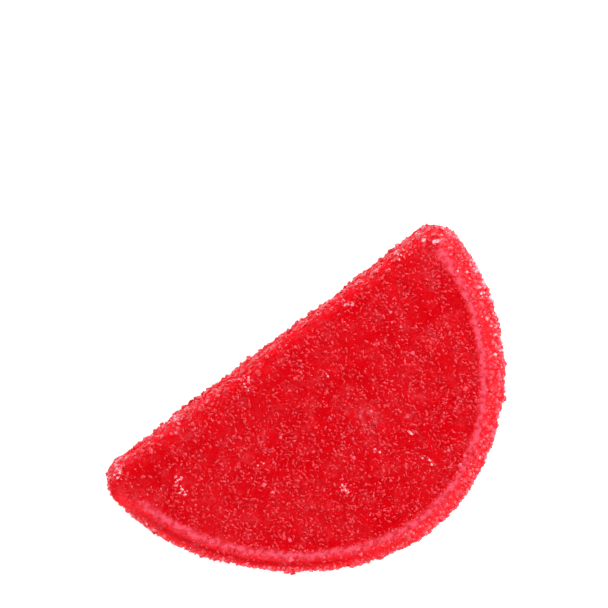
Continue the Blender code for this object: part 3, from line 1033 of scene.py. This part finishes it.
def build_tent(settings):
    """A white tent as the world's light, bright all round and dark round the camera above."""
    world = bpy.data.worlds.new("light_tent")
    bpy.context.scene.world = world
    world.use_nodes = True
    nodes = world.node_tree.nodes
    links = world.node_tree.links
    way = nodes.new("ShaderNodeTexCoord")
    parts = nodes.new("ShaderNodeSeparateXYZ")
    fade = nodes.new("ShaderNodeMapRange")
    fade.interpolation_type = "SMOOTHSTEP"
    fade.inputs["From Min"].default_value = math.sin(TENT_BRIGHT_BELOW)
    fade.inputs["From Max"].default_value = math.sin(TENT_DARK_ABOVE)
    fade.inputs["To Min"].default_value = settings.tent_light
    fade.inputs["To Max"].default_value = settings.tent_top_light
    links.new(way.outputs["Generated"], parts.inputs["Vector"])
    links.new(parts.outputs["Z"], fade.inputs["Value"])
    links.new(fade.outputs["Result"], nodes["Background"].inputs["Strength"])
    nodes["Background"].inputs["Color"].default_value = (1.0, 1.0, 1.0, 1.0)


def build_floor(settings):
    """A wide pale floor that gives off some light itself."""
    bpy.ops.object.select_all(action="DESELECT")
    bpy.ops.mesh.primitive_plane_add(size=4.0, location=(0.0, 0.0, 0.0))
    floor = bpy.context.object
    floor.name = "floor"
    paper, _, _, shader = new_material("pale_paper")
    shader.inputs["Base Color"].default_value = (0.82, 0.82, 0.82, 1.0)
    shader.inputs["Roughness"].default_value = 0.9
    shader.inputs["Emission Color"].default_value = (1.0, 1.0, 1.0, 1.0)
    shader.inputs["Emission Strength"].default_value = settings.floor_glow
    floor.data.materials.append(paper)


def build_camera(settings, right):
    """A long lens above the slice, leaning a little towards the straight side."""
    camera = bpy.data.cameras.new("camera")
    camera.lens = settings.lens
    camera.clip_start = 0.01
    distance = settings.view_width * camera.lens / camera.sensor_width
    back = Vector((0.0, math.sin(settings.camera_tilt), math.cos(settings.camera_tilt)))
    across = (right - back * right.dot(back)).normalized()
    upright = back.cross(across)
    holder = bpy.data.objects.new("camera", camera)
    bpy.context.scene.collection.objects.link(holder)
    middle = Vector((*PICTURE_MIDDLE, CAD_BOX[1].z))
    turn = Matrix((across, upright, back)).transposed()
    holder.matrix_world = Matrix.Translation(middle + back * distance) @ turn.to_4x4()
    bpy.context.scene.camera = holder


def build_stage(settings):
    """Floor, light and the camera above the slice."""
    build_floor(settings)
    build_tent(settings)
    turn = settings.picture_turn
    right = Vector((math.cos(turn), -math.sin(turn), 0.0))
    up = Vector((math.sin(turn), math.cos(turn), 0.0))
    softbox("key_softbox", (right + up).normalized(), size=(0.34, 0.24),
            brightness=settings.key_light)
    softbox("fill_softbox", (-right - up * 0.3).normalized(), size=(0.50, 0.36),
            brightness=settings.fill_light)
    build_camera(settings, right)
    bpy.context.scene.view_settings.view_transform = "Standard"


# ---- operators and panel ----

class CANDY_OT_jelly(bpy.types.Operator):
    """Make the red jelly, flesh and rind in one."""

    bl_idname = "candy.jelly"
    bl_label = "Make Jelly"

    def execute(self, context):
        build_jelly(context.scene.candy_jelly, context.scene.candy_pith)
        return {"FINISHED"}


class CANDY_OT_pith(bpy.types.Operator):
    """Make the pale band that runs under the rind."""

    bl_idname = "candy.pith"
    bl_label = "Make Pale Band"

    def execute(self, context):
        build_pith(context.scene.candy_pith, context.scene.candy_jelly)
        return {"FINISHED"}


class CANDY_OT_sugar(bpy.types.Operator):
    """Scatter the sugar over the jelly and the band."""

    bl_idname = "candy.sugar"
    bl_label = "Scatter Sugar"

    def execute(self, context):
        build_sugar(context.scene.candy_sugar, bpy.data.objects["jelly_skin"],
                    bpy.data.objects["pith_band"])
        return {"FINISHED"}


class CANDY_OT_stage(bpy.types.Operator):
    """Set the floor, the lights and the camera."""

    bl_idname = "candy.stage"
    bl_label = "Set Stage"

    def execute(self, context):
        build_stage(context.scene.candy_stage)
        return {"FINISHED"}


OPERATORS = (CANDY_OT_jelly, CANDY_OT_pith, CANDY_OT_sugar, CANDY_OT_stage)
SETTINGS = {
    "candy_jelly": JellySettings,
    "candy_pith": PithSettings,
    "candy_sugar": SugarSettings,
    "candy_stage": StageSettings,
}


class CANDY_PT_panel(bpy.types.Panel):
    """The slice's pieces and sizes in the sidebar."""

    bl_label = "Jelly Candy Slice"
    bl_space_type = "VIEW_3D"
    bl_region_type = "UI"
    bl_category = "Candy"

    def draw(self, context):
        for operator in OPERATORS:
            self.layout.operator(operator.bl_idname)
        for holder, group in SETTINGS.items():
            box = self.layout.box()
            for name in group.__annotations__:
                box.prop(getattr(context.scene, holder), name)


def register():
    """Register the settings, operators and panel."""
    for holder, group in SETTINGS.items():
        bpy.utils.register_class(group)
        setattr(bpy.types.Scene, holder, bpy.props.PointerProperty(type=group))
    for entry in (*OPERATORS, CANDY_PT_panel):
        bpy.utils.register_class(entry)


def unregister():
    """Take the settings, operators and panel away again."""
    for entry in reversed((*OPERATORS, CANDY_PT_panel)):
        bpy.utils.unregister_class(entry)
    for holder, group in reversed(SETTINGS.items()):
        delattr(bpy.types.Scene, holder)
        bpy.utils.unregister_class(group)


def main():
    """Make every piece and the stage."""
    register()
    bpy.ops.candy.jelly()
    bpy.ops.candy.pith()
    bpy.ops.candy.sugar()
    bpy.ops.candy.stage()


if __name__ == "__main__":
    main()
